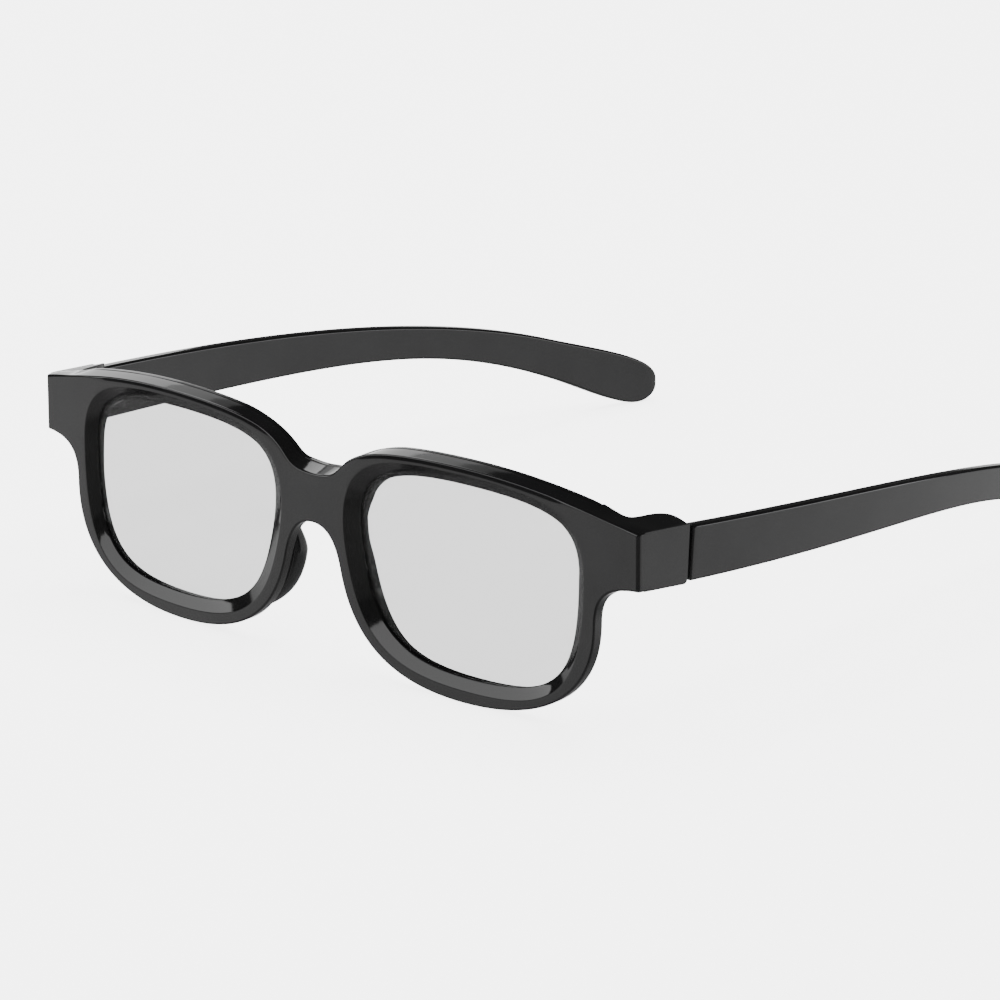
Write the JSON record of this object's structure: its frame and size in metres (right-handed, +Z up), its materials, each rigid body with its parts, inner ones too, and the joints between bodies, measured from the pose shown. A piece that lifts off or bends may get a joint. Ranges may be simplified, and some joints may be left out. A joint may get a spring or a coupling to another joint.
{
  "type": "3d glasses",
  "caption": "Passive 3D viewing glasses with a glossy black wrapped front, neutral grey film lenses and slim bowed arms that fold in on pinned hinges.",
  "frame": {"origin": "on the surface the open glasses stand on, under the middle of their width and depth", "axes": "+Z up, -Y the way the lenses face, +Y towards the arm tips, +X the wearer's left"},
  "size_m": [0.1504, 0.1662, 0.0448],
  "materials": {
    "black_plastic": "glossy black injection moulding",
    "retarder_film": "clear optical film",
    "polariser_film": "neutral grey optical sheet",
    "pin_steel": "drawn wire"
  },
  "bodies": {
    "frame": {"front_frame": "black_plastic", "rear_frame": "black_plastic", "left_retarder": "retarder_film", "left_polariser": "polariser_film", "right_retarder": "retarder_film", "right_polariser": "polariser_film", "left_hinge_pin": "pin_steel", "right_hinge_pin": "pin_steel"},
    "left_arm": {"left_temple": "black_plastic"},
    "right_arm": {"right_temple": "black_plastic"}
  },
  "joints": [
    {"name": "left_temple_fold", "type": "hinge", "parent": "frame", "child": "left_arm", "pos_m": [0.069, -0.06515, 0.0334], "axis": [0, 0, 1], "range_deg": [0, 90]},
    {"name": "right_temple_fold", "type": "hinge", "parent": "frame", "child": "right_arm", "pos_m": [-0.069, -0.06515, 0.0334], "axis": [0, 0, -1], "range_deg": [0, 84]}
  ]
}
